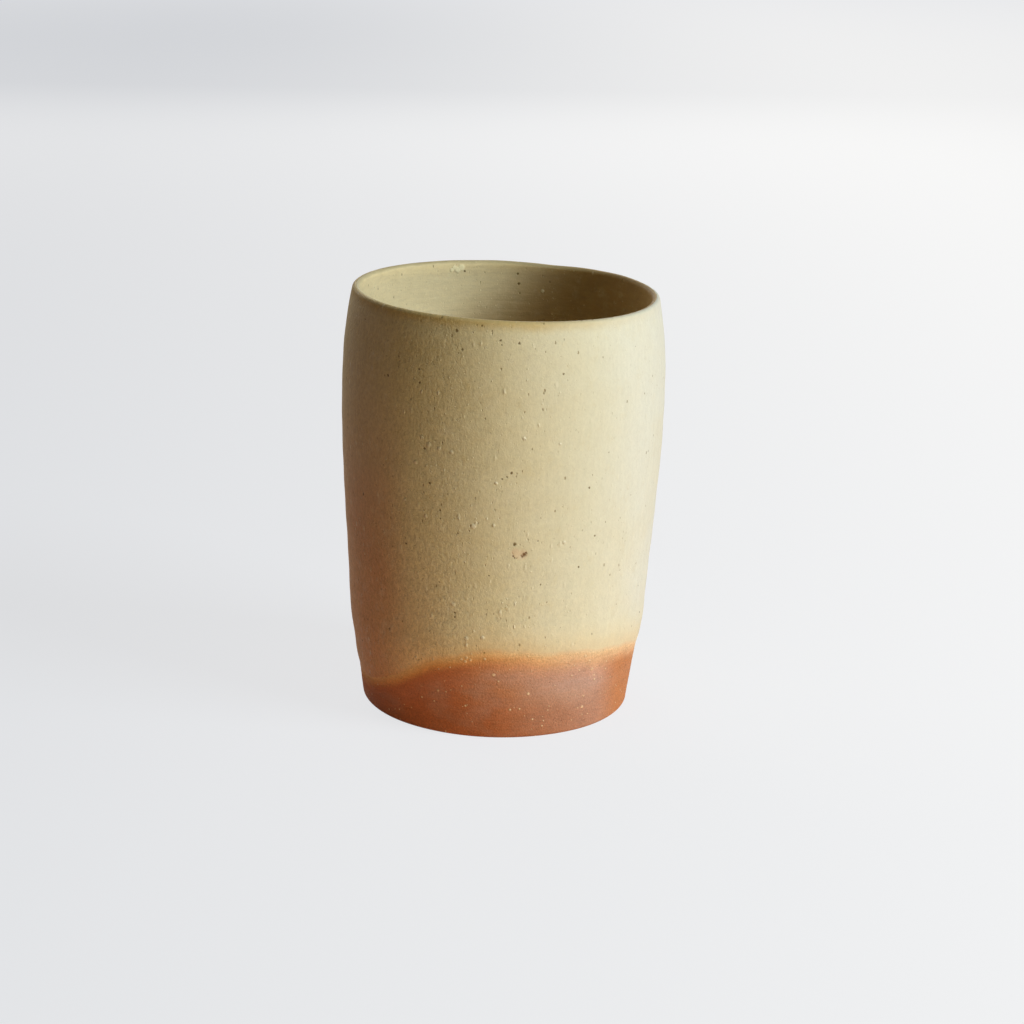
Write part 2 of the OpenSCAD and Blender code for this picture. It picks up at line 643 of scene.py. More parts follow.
@dataclass(frozen=True)
class Speckle(Tint):
    """A tint for spots, with their height in millimetres and how they are strewn, if they are."""

    height: float
    scatter: Scatter | None = None


class Measure(Enum):
    """What a region is measured along, in millimetres but for the patches."""

    RIGHT = "distance to the right of the axis"
    BACK = "distance behind the axis"
    UP = "height above the table"
    EDGE = "height above the glaze's wandering edge"
    # Distance towards the middle of the painted warm reflected light low at the left.
    FLANK = "distance from the axis towards the blush"
    STRAY_RIGHT = "distance to the right, from a wandering start"
    STRAY_UP = "height, from a wandering start"
    PATCH = "soft patches, about 0"


@dataclass(frozen=True)
class Region(Tint):
    """A tint on part of the cup, which fades in from the first to the second end of each span."""

    spans: dict[Measure, Span]


@dataclass(frozen=True)
class Step:
    """A gradual rise by a size between the two ends of a span."""

    span: Span
    size: float

    def along(self, place: Signal) -> Signal:
        """The rise, at a place along the span."""
        return place.fade(*self.span) * self.size


class Graph:
    """The nodes of a material or of the world."""

    # Sockets of a Mix node that is set to colours: three inputs and the output
    MIX_FACTOR, MIX_A, MIX_B, MIX_COLOUR = 0, 6, 7, 2
    GRAIN_SHIFT: ClassVar[Triple] = (1.0, 0.7, -1.0)
    SPOT_SHIFT: ClassVar[Triple] = (1.0, -1.0, 0.6)
    SMALLEST_SPOT: ClassVar[float] = 0.4
    MARK_EDGE: ClassVar[Span] = (1.3, 0.5)

    def __init__(self, owner: bpy.types.Material | bpy.types.World) -> None:
        """Empties the node tree of a material or a world.

        Args:
            owner: the material or world.
        """
        owner.use_nodes = True
        self.owner = owner
        self.tree = owner.node_tree
        self.tree.nodes.clear()

    @classmethod
    def material(cls, name: str) -> "Graph":
        """Starts a new material."""
        return cls(bpy.data.materials.new(name))

    def node(
        self,
        kind: str,
        settings: dict[str, Any] | None = None,
        inputs: dict[str | int, Any] | None = None,
    ) -> bpy.types.Node:
        """Adds a node, sets it up, then links or sets its sockets.

        Args:
            kind: the node's type.
            settings: its own settings, and the stops of a colour ramp.
            inputs: a value or a signal for each named or numbered socket.

        Returns:
            The new node.
        """
        node = self.tree.nodes.new(kind)
        for key, value in (settings or {}).items():
            if key == "stops":
                self.set_stops(node.color_ramp, value)
            else:
                setattr(node, key, value)
        for key, value in (inputs or {}).items():
            socket = node.inputs[key]
            if isinstance(value, Signal):
                self.tree.links.new(value.socket, socket)
            elif socket.type == "RGBA":
                socket.default_value = (*value, 1.0)
            else:
                socket.default_value = value
        return node

    def set_stops(self, ramp: bpy.types.ColorRamp, stops: list[tuple[float, Colour]]) -> None:
        """Gives a colour ramp its stops.

        Args:
            ramp: the ramp.
            stops: a share of the ramp's length and a colour for each stop.
        """
        while len(ramp.elements) < len(stops):
            ramp.elements.new(1.0)
        for element, (place, colour) in zip(ramp.elements, stops):
            element.position = place
            element.color = (*colour, 1.0)

    def signal(
        self,
        kind: str,
        settings: dict[str, Any] | None = None,
        inputs: dict[str | int, Any] | None = None,
        output: str | int = 0,
    ) -> Signal:
        """Adds a node and returns one of its outputs."""
        return Signal(self, self.node(kind, settings, inputs).outputs[output])

    def place(self) -> Signal:
        """The piece's own coordinates, in millimetres."""
        metres = self.signal("ShaderNodeTexCoord", output="Object")
        return self.vector("SCALE", metres, Scale=1 / MM)

    def vector(
        self, operation: str, *terms: Signal | Triple, output: int = 0, **named: Any
    ) -> Signal:
        """A Vector Math node."""
        inputs = {**dict(enumerate(terms)), **named}
        return self.signal("ShaderNodeVectorMath", {"operation": operation}, inputs, output)

    def part(self, place: Signal, axis: str) -> Signal:
        """One of the three numbers of a vector."""
        return self.signal("ShaderNodeSeparateXYZ", inputs={0: place}, output=axis)

    def attribute(self, name: str) -> Signal:
        """A number kept at each point of the mesh."""
        return self.signal("ShaderNodeAttribute", {"attribute_name": name}, output="Fac")

    def shifted(self, place: Signal, shift: float, ways: Triple) -> Signal:
        """Coordinates moved by a shift times each of three ways."""
        return self.vector("ADD", place, tuple(shift * way for way in ways))

    def noise(self, place: Signal, grain: Grain) -> Signal:
        """The variation of one grain.

        Args:
            place: coordinates in millimetres.
            grain: the size and kind of its lumps.

        Returns:
            A noise texture's value less a half.
        """
        if grain.lie != EVEN:
            place = self.vector("MULTIPLY", place, grain.lie)
        inputs = {
            "Vector": self.shifted(place, grain.shift, self.GRAIN_SHIFT),
            "Scale": 1 / grain.size,
            "Detail": grain.detail,
            "Roughness": grain.rough,
        }
        return self.signal("ShaderNodeTexNoise", inputs=inputs, output="Fac") - 0.5

    def grained(self, place: Signal, *grains: Grain) -> tuple[Signal, Signal]:
        """Several grains together: each one's noise times its shade and its height, summed.

        Args:
            place: coordinates in millimetres.
            grains: the grains.

        Returns:
            The shade and the height.
        """
        noises = [self.noise(place, grain) for grain in grains]
        shades = [noise * grain.shade for noise, grain in zip(noises, grains)]
        heights = [noise * grain.height for noise, grain in zip(noises, grains)]
        return sum(shades[1:], start=shades[0]), sum(heights[1:], start=heights[0])

    def spots(self, place: Signal, scatter: Scatter) -> Signal:
        """A mask of scattered spots of unequal size.

        Each cell has a random point and two random numbers. One says if the cell holds a
        spot, the other scales its radius between the smallest share and the whole.

        Args:
            place: coordinates in millimetres.
            scatter: how the spots are strewn.

        Returns:
            1 in the middle of each spot and 0 outside it.
        """
        moved = self.shifted(place, scatter.shift, self.SPOT_SHIFT)
        inputs = {"Vector": moved, "Scale": 1 / scatter.spacing, "Randomness": 1.0}
        cells = self.node("ShaderNodeTexVoronoi", inputs=inputs)
        apart = Signal(self, cells.outputs["Distance"]) * scatter.spacing
        numbers = Signal(self, cells.outputs["Color"])
        chance = self.node("ShaderNodeSeparateColor", inputs={0: numbers})
        held = Signal(self, chance.outputs[0]) < scatter.share
        size = Signal(self, chance.outputs[1]) * (1 - self.SMALLEST_SPOT) + self.SMALLEST_SPOT
        return (apart / (size * scatter.radius)).fade(1.0, 1.0 - scatter.softness) * held

    def marks(
        self, place: Signal, marks: tuple[Mark, ...], outline: Outline, wall: Wall, out: float
    ) -> Signal:
        """A mask of marks at known places: the nearest one's distance over its radius.

        Args:
            place: coordinates in millimetres, ruffled where the marks have uneven edges.
            marks: the marks, one at least.
            outline: the section that their radius from the axis comes from.
            wall: the side that they are on.
            out: distance of the marked surface from the clay.

        Returns:
            1 in the middle of each mark and 0 outside it.
        """
        shares: list[Signal] = []
        for mark in marks:
            radius, height = (float(n) for n in outline.wall(wall, np.array(mark.height), out))
            angle = math.radians(mark.turn)
            spot = (radius * math.sin(angle), -radius * math.cos(angle), height)
            shares.append(self.vector("DISTANCE", place, spot, output=1) / mark.radius)
        nearest = shares[0]
        for share in shares[1:]:
            nearest = nearest.least(share)
        return nearest.fade(*self.MARK_EDGE)

    def mix(
        self, factor: Signal | float, first: Signal | Colour, second: Signal | Colour
    ) -> Signal:
        """Two colours mixed.

        Args:
            factor: the share of the second colour.
            first: the first colour.
            second: the second colour.

        Returns:
            The mixed colour.
        """
        inputs = {self.MIX_FACTOR: factor, self.MIX_A: first, self.MIX_B: second}
        settings = {"data_type": "RGBA", "clamp_factor": True}
        return self.signal("ShaderNodeMix", settings, inputs, self.MIX_COLOUR)

    def tint(self, mask: Signal, colour: Signal | Colour, tint: Tint) -> Signal:
        """A colour with a tint laid over it where the mask is 1."""
        return self.mix(mask * tint.strength, colour, tint.colour)

    def regions(
        self, measures: dict[Measure, Signal], colour: Signal, regions: tuple[Region, ...]
    ) -> Signal:
        """A colour with tints laid over parts of the cup, one after the other.

        Args:
            measures: a signal for each measure that the regions use.
            colour: the colour beneath.
            regions: the tints. The mask of each is the product of the fades along its spans.

        Returns:
            The colour with its tints.
        """
        for region in regions:
            fades = [measures[measure].fade(*span) for measure, span in region.spans.items()]
            colour = self.tint(math.prod(fades[1:], start=fades[0]), colour, region)
        return colour

    def speckle(
        self, mask: Signal, surface: tuple[Signal, Signal], speckle: Speckle
    ) -> tuple[Signal, Signal]:
        """Lays one kind of spot over a surface.

        Args:
            mask: 1 in the middle of each spot.
            surface: the colour and the height of the surface.
            speckle: the colour, strength and height of the spots.

        Returns:
            The colour and the height with the spots.
        """
        colour, height = surface
        return self.tint(mask, colour, speckle), height + mask * speckle.height

    def shade(self, colour: Signal, amount: Signal) -> Signal:
        """A colour made lighter or darker: each part times one plus the amount."""
        return self.vector("SCALE", colour, Scale=amount + 1.0)

    def finish(
        self, surface: tuple[Signal, Signal], roughness: Signal, shine: float
    ) -> bpy.types.Material:
        """Ends the material in one shader.

        Args:
            surface: base colour, and height of the fine surface in millimetres.
            roughness: roughness.
            shine: specular level, the same all over.

        Returns:
            The finished material.
        """
        colour, height = surface
        bump = {"Height": height, "Distance": MM, "Strength": 1.0}
        inputs = {
            "Base Color": colour,
            "Roughness": roughness,
            "Normal": self.signal("ShaderNodeBump", inputs=bump),
            "Specular IOR Level": shine,
        }
        shader = self.signal("ShaderNodeBsdfPrincipled", inputs=inputs)
        self.node("ShaderNodeOutputMaterial", inputs={"Surface": shader})
        return self.owner


def capped(strength: Signal | float, most: float) -> Signal | float:
    """A strength that goes no higher than a given value."""
    return strength.least(most) if isinstance(strength, Signal) else min(strength, most)


Stops = tuple[tuple[float, Colour], ...]


@dataclass(frozen=True)
class KilnColours:
    """The colours from bare clay up over the glaze's edge, by distance above the edge.

    One run of colours holds at the front and left, a greyer one further round to the right.
    """

    front: Stops = (
        (-22.0, srgb(176, 102, 62)),
        (-14.0, srgb(184, 120, 80)),
        (-9.0, srgb(189, 129, 88)),
        (-5.5, srgb(202, 147, 114)),
        (-2.5, srgb(216, 150, 102)),
        (-1.0, srgb(230, 168, 106)),
        (0.5, srgb(238, 196, 138)),
        (2.0, srgb(234, 214, 170)),
        (9.0, srgb(230, 222, 186)),
    )
    right: Stops = (
        (-22.0, srgb(180, 136, 112)),
        (-15.5, srgb(188, 148, 128)),
        (-10.5, srgb(191, 152, 131)),
        (-7.0, srgb(194, 158, 142)),
        (-4.5, srgb(206, 163, 141)),
        (-2.0, srgb(221, 177, 138)),
        (0.0, srgb(232, 196, 152)),
        (1.5, srgb(230, 218, 184)),
        (9.0, srgb(226, 223, 197)),
    )
    turns_grey: Span = (-2.0, 20.0)
    edge_grain: Grain = Grain(9.0, 31.0, 3.0)
    edge_wander: float = 2.2
    side_grain: Grain = Grain(14.0, 3.0)
    side_wander: float = 12.0

    def ramp(self, graph: Graph, above: Signal, stops: Stops) -> Signal:
        """The colour from a ramp over the stops.

        Args:
            graph: the material's nodes.
            above: distance above the edge.
            stops: distances and their colours.

        Returns:
            The colour.
        """
        low, high = stops[0][0], stops[-1][0]
        shares = [((place - low) / (high - low), colour) for place, colour in stops]
        share = (above - low) / (high - low)
        return graph.signal("ShaderNodeValToRGB", {"stops": shares}, {0: share}, "Color")

    def over(self, graph: Graph, place: Signal) -> tuple[Signal, Signal]:
        """The colours near the edge, the same on clay and glaze.

        Args:
            graph: the material's nodes.
            place: coordinates in millimetres.

        Returns:
            The distance above the wandering edge, and the colour.
        """
        above = graph.attribute(ABOVE_LINE) + graph.noise(place, self.edge_grain) * self.edge_wander
        across = graph.part(place, "X") + graph.noise(place, self.side_grain) * self.side_wander
        front, right = self.ramp(graph, above, self.front), self.ramp(graph, above, self.right)
        return above, graph.mix(across.fade(*self.turns_grey), front, right)


@dataclass(frozen=True)
class MattGlaze:
    """The matt cream glaze. OutsideGlaze and InsideGlaze lay it on the two walls."""

    wall: ClassVar[Wall]
    name: str
    outline: Outline
    dark_marks: tuple[Mark, ...]
    pale_marks: tuple[Mark, ...]
    grains: Speckle
    stones: Speckle
    flecks: Speckle
    iron: Speckle
    thin_lip_and_shade: Tint
    light_mottle: Tint
    lumps: Grain
    streaks: Grain
    combing: Grain
    lip_reach: float
    pores: Speckle = Speckle(srgb(150, 128, 84), 0.50, -0.14, Scatter(0.95, 0.60, 0.24, 3.1, 0.7))
    dark_mottle: Tint = Tint(srgb(206, 186, 126), 0.36)
    sandy: Tint = Tint(srgb(218, 204, 158), 0.30)
    sand: Grain = Grain(0.42, 6.0, 2.0, 0.75, shade=0.28, height=0.055)
    clouds: Grain = Grain(21.0, 9.0, 3.0, shade=0.05)
    mottle: Grain = Grain(3.4, 2.0, 4.0, 0.72)
    patches: Grain = Grain(9.0, 55.0)
    lip_grain: Grain = Grain(4.0, 12.0)
    rough_grain: Grain = Grain(1.4, 5.0)
    cloud_span: Span = (-0.15, 0.35)
    light_span: Span = (0.0, 0.3)
    dark_span: Span = (-0.02, -0.3)
    patch_step: Step = Step((-0.16, 0.16), 0.7)
    patch_least: float = 0.3
    patch_most: float = 1.1
    # Strength of the lip's tint across the cup: strongest at the left, as painted shade.
    lip_step: Step = Step((34.0, 0.0), 0.7)
    lip_least: float = 0.1
    lip_crest: float = 0.2
    lip_wander: float = 0.6
    ruffle_scale: float = 2.6
    ruffle_size: float = 0.4
    tallness: Triple = (1.0, 1.0, 0.55)
    roughness: float = 0.64
    rough_range: float = 0.12
    shine: float = 0.2

    def material(self) -> bpy.types.Material:
        """Colour, roughness and relief of the glaze.

        Returns:
            The finished material.
        """
        graph = Graph.material(self.name)
        place = graph.place()
        graining = self.grain_strength(graph, place)
        ruffled = self.ruffled(graph, place)
        tall = graph.vector("MULTIPLY", ruffled, self.tallness)
        patchy = self.patch_step.along(graph.noise(place, self.patches)) + self.patch_least
        patchy = patchy * capped(graining, self.patch_most)
        pores = graph.spots(tall, self.pores.scatter) * patchy
        grains = graph.spots(ruffled, self.grains.scatter) * patchy
        stones = graph.spots(tall, self.stones.scatter) * capped(patchy, 1.0)
        flecks = graph.spots(tall, self.flecks.scatter)
        iron = graph.spots(ruffled, self.iron.scatter)
        shade, height = graph.grained(place, self.sand, self.lumps, self.combing)
        # The grain lightens and darkens the colour by its strength, which outside carries painted
        # raking-light shade at the left.
        surface = graph.shade(self.ground(graph, place, graining), shade * graining), height * graining
        for mask, speckle in (
            (pores, self.pores),
            (grains, self.grains),
            (stones.most(self.marked(graph, ruffled, self.pale_marks)), self.stones),
            (flecks, self.flecks),
            (iron.most(self.marked(graph, ruffled, self.dark_marks)), self.iron),
        ):
            surface = graph.speckle(mask, surface, speckle)
        roughness = graph.noise(place, self.rough_grain) * self.rough_range + self.roughness
        return graph.finish(self.damaged(graph, ruffled, surface), roughness, self.shine)

    def ruffled(self, graph: Graph, place: Signal) -> Signal:
        """Coordinates pushed about by a fine noise, so that spots get uneven edges.

        Args:
            graph: the material's nodes.
            place: coordinates in millimetres.

        Returns:
            The place plus the size times a noise about 0 along each axis.
        """
        inputs = {"Vector": place, "Scale": self.ruffle_scale}
        noise = graph.signal("ShaderNodeTexNoise", inputs=inputs, output="Color")
        pushed = graph.vector("MULTIPLY_ADD", noise, (self.ruffle_size,) * 3, place)
        return graph.vector("SUBTRACT", pushed, (self.ruffle_size / 2,) * 3)

    def marked(self, graph: Graph, place: Signal, marks: tuple[Mark, ...]) -> Signal:
        """A mask of marks on this glaze's surface."""
        return graph.marks(place, marks, self.outline, self.wall, self.outline.glaze)

    def damaged(
        self, graph: Graph, place: Signal, surface: tuple[Signal, Signal]
    ) -> tuple[Signal, Signal]:
        """The surface with its damage. A glaze has none unless its wall says so."""
        return surface

    def grain_strength(self, graph: Graph, place: Signal) -> Signal | float:
        """How strongly the surface is grained, about 1. Each wall has its own."""
        raise NotImplementedError

    def undercoat(self, graph: Graph, place: Signal) -> tuple[Signal, Signal | float]:
        """The colour beneath the clouds, and how far the glaze covers. Each wall has its own."""
        raise NotImplementedError

    def ground(self, graph: Graph, place: Signal, graining: Signal | float) -> Signal:
        """The glaze's colour without its specks: clouds, mottle, a lip tint of thinner glaze with
        painted shade at the left, and streaks.

        Args:
            graph: the material's nodes.
            place: coordinates in millimetres.
            graining: how strongly the surface is grained.

        Returns:
            The colour.
        """
        colour, cover = self.undercoat(graph, place)
        clouds = graph.noise(place, self.clouds).fade(*self.cloud_span)
        colour = graph.tint(clouds * cover, colour, self.sandy)
        mottle = graph.noise(place, self.mottle)
        cover = capped(graining, 1.0) * cover
        colour = graph.tint(mottle.fade(*self.light_span) * cover, colour, self.light_mottle)
        colour = graph.tint(mottle.fade(*self.dark_span) * cover, colour, self.dark_mottle)
        wander = graph.noise(place, self.lip_grain) * self.lip_reach * self.lip_wander
        from_crest = graph.attribute(FROM_CREST) + wander
        # The lip's tint is thinner glaze, made stronger towards the left as painted shade.
        side = self.lip_step.along(graph.part(place, "X")) + self.lip_least
        near_lip = from_crest.fade(self.lip_reach, self.lip_crest)
        colour = graph.tint(near_lip * side, colour, self.thin_lip_and_shade)
        return graph.shade(colour, graph.grained(place, self.streaks, self.clouds)[0])


@dataclass(frozen=True)
class OutsideGlaze(MattGlaze):
    """The glaze outside, with the kiln's colours near its edge, and the chip."""

    wall: ClassVar[Wall] = Wall.OUTSIDE
    grains: Speckle = Speckle(srgb(240, 234, 208), 0.58, 0.12, Scatter(1.3, 0.60, 0.34, 23.9, 0.8))
    stones: Speckle = Speckle(srgb(240, 234, 208), 0.82, 0.15, Scatter(1.9, 0.45, 0.62, 41.7, 0.95))
    flecks: Speckle = Speckle(srgb(130, 104, 54), 0.60, -0.05, Scatter(1.9, 0.60, 0.30, 71.3))
    iron: Speckle = Speckle(srgb(100, 78, 28), 0.88, -0.08, Scatter(5.0, 0.36, 0.42, 17.3))
    thin_lip_and_shade: Tint = Tint(srgb(206, 178, 110), 1.0)
    light_mottle: Tint = Tint(srgb(240, 234, 208), 0.36)
    lumps: Grain = Grain(0.8, 14.0, 2.0, 0.6, (1.0, 1.0, 0.7), shade=0.32, height=0.06)
    streaks: Grain = Grain(1.3, 8.0, lie=(1.0, 1.0, 0.14), shade=0.10)
    combing: Grain = Grain(0.9, 22.0, lie=(1.0, 1.0, 0.12), height=0.025)
    lip_reach: float = 3.0
    chip: tuple[Mark, ...] = field(kw_only=True)
    chip_halo: tuple[Mark, ...] = field(kw_only=True)
    kiln: KilnColours = KilnColours()
    halo: Tint = Tint(srgb(230, 200, 166), 0.5)
    rust: Speckle = Speckle(srgb(112, 74, 38), 0.9, -0.10)
    covered: Span = (0.6, 5.0)
    # Painted warm reflected light: a warm glow low on the left front of the glaze.
    low_warm_reflection_turn: float = -58.0
    blush: Region = Region(
        srgb(224, 172, 122), 0.6, {Measure.UP: (60.0, 16.0), Measure.FLANK: (24.0, 40.0)}
    )
    # Painted warm reflected light: a warmer glaze at the left front, strongest lower down.
    left_warm_reflection: Region = Region(
        srgb(206, 148, 100),
        0.7,
        {Measure.UP: (92.0, 40.0), Measure.RIGHT: (-19.0, -28.0), Measure.BACK: (14.0, -10.0)},
    )
    # Painted sheen: paler, greyer glaze on the right, the side that the key lamp lights.
    lit_side_sheen: Region = Region(
        srgb(228, 231, 222), 0.6, {Measure.RIGHT: (17.0, 34.0), Measure.EDGE: (1.0, 14.0)}
    )
    # Painted shade: darker olive glaze high on the left front, under the lip.
    left_shade_band: Region = Region(
        srgb(206, 186, 126), 0.35, {Measure.UP: (56.0, 92.0), Measure.RIGHT: (8.0, -16.0)}
    )
    # Grain strength steps across the cup: raised at the left as painted raking-light shade, lowest
    # on the lit right.
    grain_least: float = 0.4
    grain_across: tuple[Step, ...] = (
        Step((24.0, -8.0), 0.55),
        Step((-4.0, -14.0), 0.9),
        Step((-22.0, -29.0), -0.4),
    )
    grain_low: Step = Step((56.0, 38.0), 0.3)

    # Painted shade: the grain's colour shade is strongest at the left, standing in for its relief's
    # shading under raking light, and weakest on the lit right.
    def grain_strength(self, graph: Graph, place: Signal) -> Signal:
        """How strongly the surface is grained: most at the left and low down.

        Args:
            graph: the material's nodes.
            place: coordinates in millimetres.

        Returns:
            The least strength plus the steps across, times one plus the step low down.
        """
        across = graph.part(place, "X")
        strength = sum((step.along(across) for step in self.grain_across), start=self.grain_least)
        return strength * (self.grain_low.along(graph.part(place, "Z")) + 1.0)

    def undercoat(self, graph: Graph, place: Signal) -> tuple[Signal, Signal]:
        """The kiln's colours, with painted warm reflected light low at the left and up the left
        front, a painted sheen on the lit right, and painted shade under the lip at the left.

        Args:
            graph: the material's nodes.
            place: coordinates in millimetres.

        Returns:
            The colour, and how far the glaze covers.
        """
        above, colour = self.kiln.over(graph, place)
        angle = math.radians(self.low_warm_reflection_turn)
        flank = (math.sin(angle), -math.cos(angle), 0.0)
        measures = {
            Measure.RIGHT: graph.part(place, "X"),
            Measure.BACK: graph.part(place, "Y"),
            Measure.UP: graph.part(place, "Z"),
            Measure.EDGE: above,
            Measure.FLANK: graph.vector("DOT_PRODUCT", place, flank, output=1),
        }
        tints = (self.blush, self.left_warm_reflection, self.lit_side_sheen, self.left_shade_band)
        return graph.regions(measures, colour, tints), above.fade(*self.covered)

    def damaged(
        self, graph: Graph, place: Signal, surface: tuple[Signal, Signal]
    ) -> tuple[Signal, Signal]:
        """The surface with the rusty chip and the pale halo round it.

        Args:
            graph: the material's nodes.
            place: coordinates in millimetres.
            surface: the colour and the height of the surface.

        Returns:
            The colour and the height with the chip.
        """
        colour, height = surface
        colour = graph.tint(self.marked(graph, place, self.chip_halo), colour, self.halo)
        return graph.speckle(self.marked(graph, place, self.chip), (colour, height), self.rust)


@dataclass(frozen=True)
class InsideGlaze(MattGlaze):
    """The glaze inside, cream at the left, with painted shade at the right and further down."""

    wall: ClassVar[Wall] = Wall.INSIDE
    grains: Speckle = Speckle(srgb(255, 246, 200), 0.58, 0.12, Scatter(1.3, 0.60, 0.34, 23.9, 0.8))
    stones: Speckle = Speckle(srgb(255, 246, 200), 0.82, 0.15, Scatter(1.9, 0.10, 0.62, 41.7, 0.95))
    flecks: Speckle = Speckle(srgb(130, 104, 54), 0.60, -0.05, Scatter(1.9, 0.30, 0.30, 71.3))
    iron: Speckle = Speckle(srgb(104, 80, 34), 0.88, -0.08, Scatter(5.0, 0.12, 0.42, 17.3))
    thin_lip_and_shade: Tint = Tint(srgb(200, 184, 138), 1.0)
    light_mottle: Tint = Tint(srgb(255, 246, 200), 0.36)
    lumps: Grain = Grain(0.8, 14.0, 2.0, 0.6, (0.3, 0.3, 1.0), shade=0.32, height=0.06)
    streaks: Grain = Grain(1.3, 8.0, lie=(0.12, 0.12, 1.0), shade=0.10)
    combing: Grain = Grain(1.1, 27.0, 3.0, 0.6, (0.06, 0.06, 1.0), height=0.12)
    lip_reach: float = 0.9
    cream: Colour = srgb(240, 222, 172)
    # Painted shade: the liner is browner at the right and deeper down, where the inside lies in
    # shadow.
    inner_shade: Tint = Tint(srgb(176, 138, 80), 0.85)
    inner_shade_span: Span = (-6.0, 24.0)
    inner_shade_lean: float = 1.1
    rim_height: float = 100.0
    even_grain: float = 0.65

    def grain_strength(self, graph: Graph, place: Signal) -> float:
        """How strongly the surface is grained: the same all over."""
        return self.even_grain

    def undercoat(self, graph: Graph, place: Signal) -> tuple[Signal, float]:
        """Cream, with painted shade that grows with the distance to the right plus the depth times
        its lean.

        Args:
            graph: the material's nodes.
            place: coordinates in millimetres.

        Returns:
            The colour, and how far the glaze covers.
        """
        deep = self.rim_height - graph.part(place, "Z")
        # How much painted shade there is, growing to the right and with depth.
        toasted = (graph.part(place, "X") + deep * self.inner_shade_lean).fade(*self.inner_shade_span)
        return graph.tint(toasted, self.cream, self.inner_shade), 1.0


@dataclass(frozen=True)
class BareClay:
    """The toasted stoneware of the foot."""

    name: str
    outline: Outline
    pale_marks: tuple[Mark, ...]
    kiln: KilnColours = KilnColours()
    # Painted warm reflected light: redder clay at the left, below the glaze's edge.
    left_warm_reflection: Region = Region(
        srgb(186, 101, 63), 0.6, {Measure.EDGE: (-0.5, -3.0), Measure.STRAY_RIGHT: (6.0, -14.0)}
    )
    mauve: Region = Region(
        srgb(188, 146, 126), 0.5, {Measure.PATCH: (-0.08, 0.22), Measure.EDGE: (-2.0, -5.0)}
    )
    # Painted warm reflected light: golden orange clay at the far right, just below the glaze's
    # edge.
    right_warm_reflection: Region = Region(
        srgb(190, 118, 52), 0.7, {Measure.RIGHT: (23.0, 30.0), Measure.EDGE: (0.0, -4.0)}
    )
    ochre: Region = Region(
        srgb(160, 98, 54), 0.45, {Measure.STRAY_UP: (11.0, 3.0), Measure.STRAY_RIGHT: (30.0, 16.0)}
    )
    stones: Speckle = Speckle(srgb(242, 214, 172), 0.78, 0.10, Scatter(1.35, 0.50, 0.34, 51.0, 0.6))
    pits: Speckle = Speckle(srgb(118, 66, 42), 0.5, -0.06, Scatter(1.4, 0.45, 0.24, 63.0))
    sand: Grain = Grain(0.45, 7.0, 2.0, 0.65, shade=0.70, height=0.14)
    mottle: Grain = Grain(2.6, 19.0, 3.0, 0.6, shade=0.30, height=0.04)
    lines: Grain = Grain(0.55, 4.0, 3.0, 0.6, (0.06, 0.06, 1.0), shade=0.20, height=0.04)
    patches: Grain = Grain(5.0, 44.0, 3.0, lie=(0.6, 0.6, 1.0))
    side_grain: Grain = Grain(16.0, 8.0)
    side_wander: float = 14.0
    low_grain: Grain = Grain(12.0, 71.0)
    low_wander: float = 6.0
    roughness: float = 0.74
    rough_range: float = 0.12
    shine: float = 0.2

    def material(self) -> bpy.types.Material:
        """Colour, roughness and relief of the bare clay.

        Returns:
            The finished material.
        """
        graph = Graph.material(self.name)
        place = graph.place()
        above, colour = self.kiln.over(graph, place)
        right, up = graph.part(place, "X"), graph.part(place, "Z")
        measures = {
            Measure.RIGHT: right,
            Measure.EDGE: above,
            Measure.STRAY_RIGHT: right + graph.noise(place, self.side_grain) * self.side_wander,
            Measure.STRAY_UP: up + graph.noise(place, self.low_grain) * self.low_wander,
            Measure.PATCH: graph.noise(place, self.patches),
        }
        colour = graph.regions(measures, colour, (self.left_warm_reflection, self.mauve, self.right_warm_reflection, self.ochre))
        shade, height = graph.grained(place, self.sand, self.mottle, self.lines)
        surface = graph.shade(colour, shade), height
        marked = graph.marks(place, self.pale_marks, self.outline, Wall.OUTSIDE, 0.0)
        stones = graph.spots(place, self.stones.scatter).most(marked)
        surface = graph.speckle(stones, surface, self.stones)
        surface = graph.speckle(graph.spots(place, self.pits.scatter), surface, self.pits)
        roughness = graph.noise(place, self.mottle) * self.rough_range + self.roughness
        return graph.finish(surface, roughness, self.shine)


def stack(*lines: tuple[np.ndarray, np.ndarray]) -> tuple[np.ndarray, np.ndarray]:
    """Joins lines of points end to end.

    Args:
        lines: pairs of radius and height, each a column of rows or a full grid.

    Returns:
        Radius and height of all the rows.
    """
    return np.concatenate([line[0] for line in lines]), np.concatenate([line[1] for line in lines])


